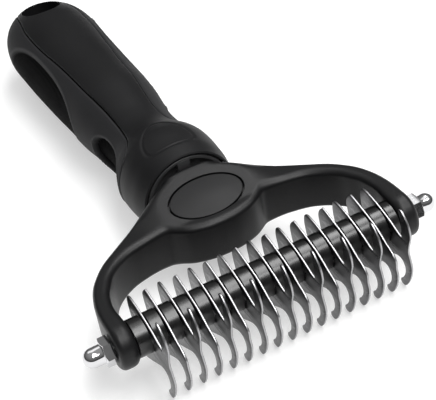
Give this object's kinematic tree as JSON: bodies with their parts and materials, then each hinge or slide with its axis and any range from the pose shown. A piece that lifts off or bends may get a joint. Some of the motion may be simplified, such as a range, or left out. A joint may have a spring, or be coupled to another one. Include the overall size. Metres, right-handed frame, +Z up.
{
  "type": "undercoat rake",
  "caption": "Double-sided undercoat rake: curved steel blades on a rod in a bow-shaped head, with a soft-grip handle.",
  "frame": {"origin": "middle of the bounding box's bottom face, under the handle and blades", "axes": "+X along the blade rod, +Y from the blades to the handle's butt, +Z up, through the top inlay's side"},
  "size_m": [0.119, 0.2058, 0.035],
  "materials": {
    "stamped_steel": "satin",
    "chrome": "polished",
    "gloss_black_plastic": "gloss",
    "satin_black_plastic": "satin",
    "badge_plastic": "fine matte",
    "handle_plastic": "matte",
    "soft_grip_rubber": "matte with fine ribs"
  },
  "bodies": {
    "root": {"blade_01": "stamped_steel", "blade_02": "stamped_steel", "blade_03": "stamped_steel", "blade_04": "stamped_steel", "blade_05": "stamped_steel", "blade_06": "stamped_steel", "blade_07": "stamped_steel", "blade_08": "stamped_steel", "blade_09": "stamped_steel", "blade_10": "stamped_steel", "blade_11": "stamped_steel", "blade_12": "stamped_steel", "blade_13": "stamped_steel", "blade_14": "stamped_steel", "blade_15": "stamped_steel", "blade_16": "stamped_steel", "blade_17": "stamped_steel", "spacer_01": "gloss_black_plastic", "spacer_02": "gloss_black_plastic", "spacer_03": "gloss_black_plastic", "spacer_04": "gloss_black_plastic", "spacer_05": "gloss_black_plastic", "spacer_06": "gloss_black_plastic", "spacer_07": "gloss_black_plastic", "spacer_08": "gloss_black_plastic", "spacer_09": "gloss_black_plastic", "spacer_10": "gloss_black_plastic", "spacer_11": "gloss_black_plastic", "spacer_12": "gloss_black_plastic", "spacer_13": "gloss_black_plastic", "spacer_14": "gloss_black_plastic", "spacer_15": "gloss_black_plastic", "spacer_16": "gloss_black_plastic", "end_spacer_left": "gloss_black_plastic", "end_spacer_right": "gloss_black_plastic", "tie_rod": "stamped_steel", "cap_nut_left": "chrome", "cap_nut_right": "chrome", "head_frame": "satin_black_plastic", "badge_top": "badge_plastic", "badge_bottom": "badge_plastic", "neck_collar": "handle_plastic", "handle_core": "handle_plastic", "grip_left": "soft_grip_rubber", "grip_right": "soft_grip_rubber"}
  },
  "joints": []
}
